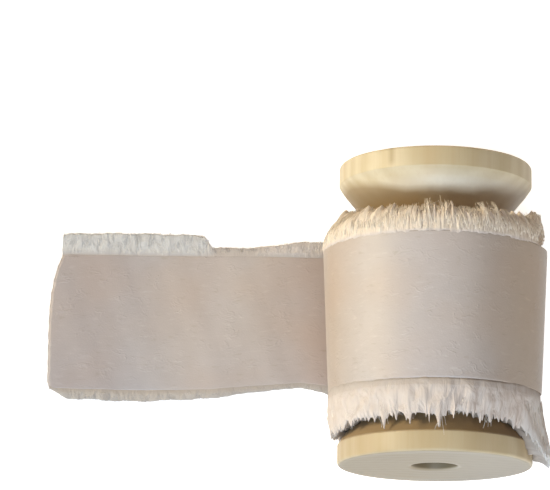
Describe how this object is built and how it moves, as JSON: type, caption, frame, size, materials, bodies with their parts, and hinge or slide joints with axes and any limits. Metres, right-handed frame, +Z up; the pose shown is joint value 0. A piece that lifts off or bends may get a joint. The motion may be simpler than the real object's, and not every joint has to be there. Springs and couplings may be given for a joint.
{
  "type": "spool of frayed ribbon",
  "caption": "Turned wooden spool lying on its side, wound with cloth ribbon whose edges are frayed, with the loose end laid out flat beside it.",
  "frame": {"origin": "on the surface that the winding rests on, straight below the middle of the spool", "axes": "+Z up, +Y along the spool's axis away from its near end, -X the way the loose end lies"},
  "size_m": [0.0917, 0.055, 0.0403],
  "materials": {
    "wood": "turned and sanded pale birch, bare",
    "ribbon_cloth": "soft plain weave, unbleached, with fine slubs"
  },
  "bodies": {
    "root": {"spool": "wood", "ribbon_roll": "ribbon_cloth", "ribbon_end": "ribbon_cloth"}
  },
  "joints": []
}
